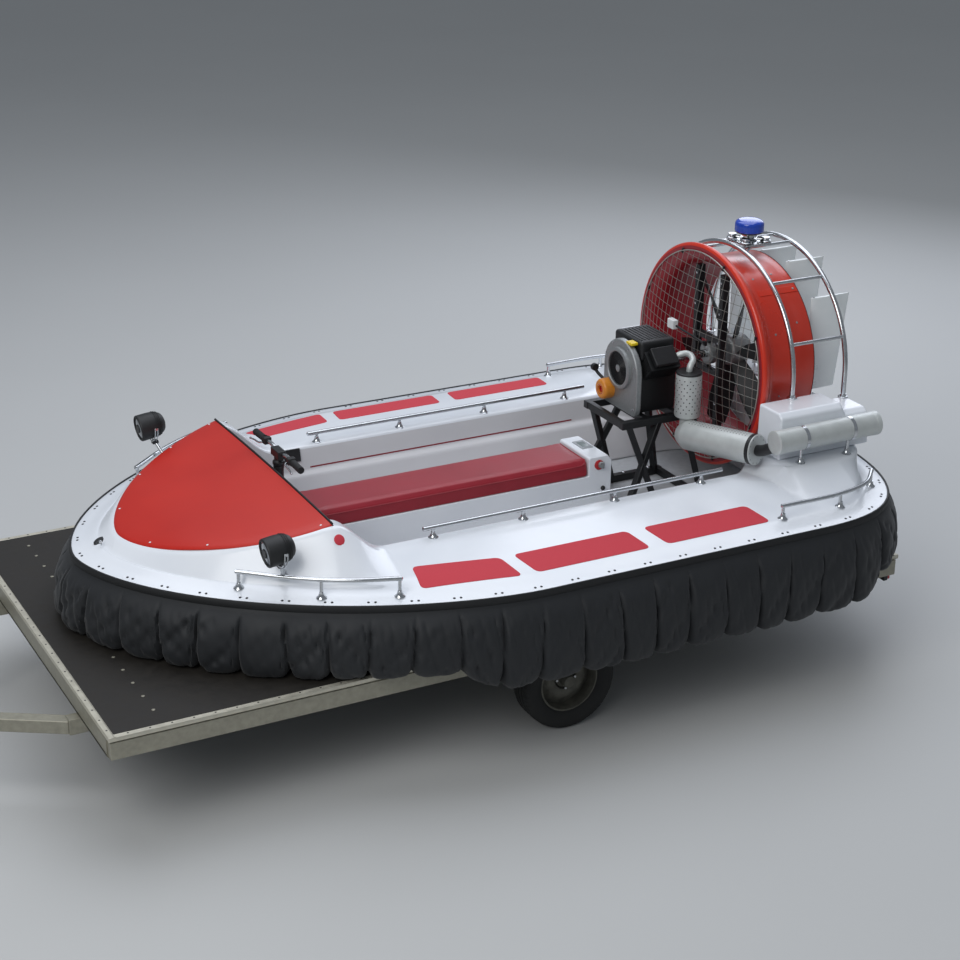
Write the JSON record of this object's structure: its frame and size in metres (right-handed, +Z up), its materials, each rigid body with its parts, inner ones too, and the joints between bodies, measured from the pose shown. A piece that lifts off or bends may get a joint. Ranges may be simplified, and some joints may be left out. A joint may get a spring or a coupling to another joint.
{
  "type": "small rescue hovercraft on its flat-deck road trailer",
  "caption": "Light rescue hovercraft with a ducted fan, rudders and finger skirt, standing on a flat-deck road trailer.",
  "frame": {"origin": "on the ground under the middle of the whole outfit, coupling to stern", "axes": "bow and coupling towards -X, port side towards -Y, +Z up"},
  "size_m": [5.679, 2.79, 2.1339],
  "materials": {
    "gelcoat": "white gelcoat, faintly bluish, glossy",
    "red_gelcoat": "orange-red gelcoat, satin",
    "vinyl": "dark red upholstery vinyl",
    "skirt_fabric": "black coated nylon",
    "rubber": "matt black rubber",
    "tyre_rubber": "worn black",
    "floor_panel": "white painted sandwich panel",
    "engine_black": "black painted aluminium castings",
    "black_steel": "black paint, satin",
    "stainless": "polished stainless steel",
    "zinc": "weathered galvanised steel",
    "plywood": "dark phenolic plywood",
    "alloy": "cast aluminium",
    "silver_paint": "silver heat paint",
    "orange_paint": "orange enamel",
    "beacon_blue": "blue polycarbonate",
    "black_plastic": "black plastic",
    "rudder_white": "white paint, slightly soiled"
  },
  "bodies": {
    "outfit": {"hull_body": "gelcoat", "pod_port": "gelcoat", "pod_starboard": "gelcoat", "seat_box": "gelcoat", "duct_bed": "gelcoat", "rudder_shelf": "gelcoat", "hull_bottom": "floor_panel", "engine_block": "engine_black", "bow_cover": "red_gelcoat", "duct": "red_gelcoat", "seat_cushion": "vinyl", "skirt": "skirt_fabric", "rim_strip": "rubber", "cover_edging": "rubber", "steering_column": "black_steel", "fan_mount": "black_steel", "engine_frame": "black_steel", "bow_eye": "stainless", "duct_guard": "stainless", "guard_hoops": "stainless", "horns": "stainless", "rail_front_port": "stainless", "rail_front_starboard": "stainless", "rail_side_port": "stainless", "rail_side_starboard": "stainless", "rail_rear_port": "stainless", "rail_rear_starboard": "stainless", "deck_trim": "zinc", "deck_frame": "zinc", "drawbar": "zinc", "axle": "zinc", "coupling": "zinc", "jockey_leg": "zinc", "deck_board": "plywood", "blower_housing": "alloy", "exhaust_can": "silver_paint", "silencer_cross": "silver_paint", "silencer_tail": "silver_paint", "oil_filter": "orange_paint", "beacon": "beacon_blue", "spot_lamp_port": "black_plastic", "spot_lamp_starboard": "black_plastic", "lamp_bar": "black_plastic"},
    "wheel_port": {"tyre_port": "tyre_rubber", "wheel_rim_port": "zinc"},
    "wheel_starboard": {"tyre_starboard": "tyre_rubber", "wheel_rim_starboard": "zinc"},
    "fan": {"fan": "black_plastic"},
    "handlebar": {"handlebar": "black_steel"},
    "jockey_fork": {"jockey_fork": "zinc"},
    "jockey_wheel": {"jockey_wheel": "rubber"},
    "rudder_1": {"rudder_1": "rudder_white"},
    "rudder_2": {"rudder_2": "rudder_white"},
    "rudder_3": {"rudder_3": "rudder_white"},
    "rudder_4": {"rudder_4": "rudder_white"}
  },
  "joints": [
    {"name": "wheel_port_spin", "type": "hinge", "parent": "outfit", "child": "wheel_port", "pos_m": [0.75, -0.945, 0.25], "axis": [0, 1, 0], "continuous": true},
    {"name": "wheel_starboard_spin", "type": "hinge", "parent": "outfit", "child": "wheel_starboard", "pos_m": [0.75, 0.945, 0.25], "axis": [0, 1, 0], "continuous": true},
    {"name": "fan_spin", "type": "hinge", "parent": "outfit", "child": "fan", "pos_m": [2.31, 0, 1.42], "axis": [1, 0, 0], "continuous": true},
    {"name": "steering", "type": "hinge", "parent": "outfit", "child": "handlebar", "pos_m": [-0.33, 0, 1.28], "axis": [0, 0, 1], "range_deg": [-35, 35]},
    {"name": "jockey_swivel", "type": "hinge", "parent": "outfit", "child": "jockey_fork", "pos_m": [-2.33, -0.034, 0.2], "axis": [0, 0, 1], "continuous": true},
    {"name": "jockey_spin", "type": "hinge", "parent": "jockey_fork", "child": "jockey_wheel", "pos_m": [-2.33, -0.034, 0.1], "axis": [0, 1, 0], "continuous": true},
    {"name": "rudder_1_turn", "type": "hinge", "parent": "outfit", "child": "rudder_1", "pos_m": [2.55, -0.36, 1.5], "axis": [0, 0, 1], "range_deg": [-28, 28]},
    {"name": "rudder_2_turn", "type": "hinge", "parent": "outfit", "child": "rudder_2", "pos_m": [2.55, -0.12, 1.5], "axis": [0, 0, 1], "range_deg": [-28, 28]},
    {"name": "rudder_3_turn", "type": "hinge", "parent": "outfit", "child": "rudder_3", "pos_m": [2.55, 0.12, 1.5], "axis": [0, 0, 1], "range_deg": [-28, 28]},
    {"name": "rudder_4_turn", "type": "hinge", "parent": "outfit", "child": "rudder_4", "pos_m": [2.55, 0.36, 1.5], "axis": [0, 0, 1], "range_deg": [-28, 28]}
  ],
  "couplings": [
    {"joint": "rudder_1_turn", "follows": "steering", "ratio": -0.8},
    {"joint": "rudder_2_turn", "follows": "steering", "ratio": -0.8},
    {"joint": "rudder_3_turn", "follows": "steering", "ratio": -0.8},
    {"joint": "rudder_4_turn", "follows": "steering", "ratio": -0.8}
  ]
}
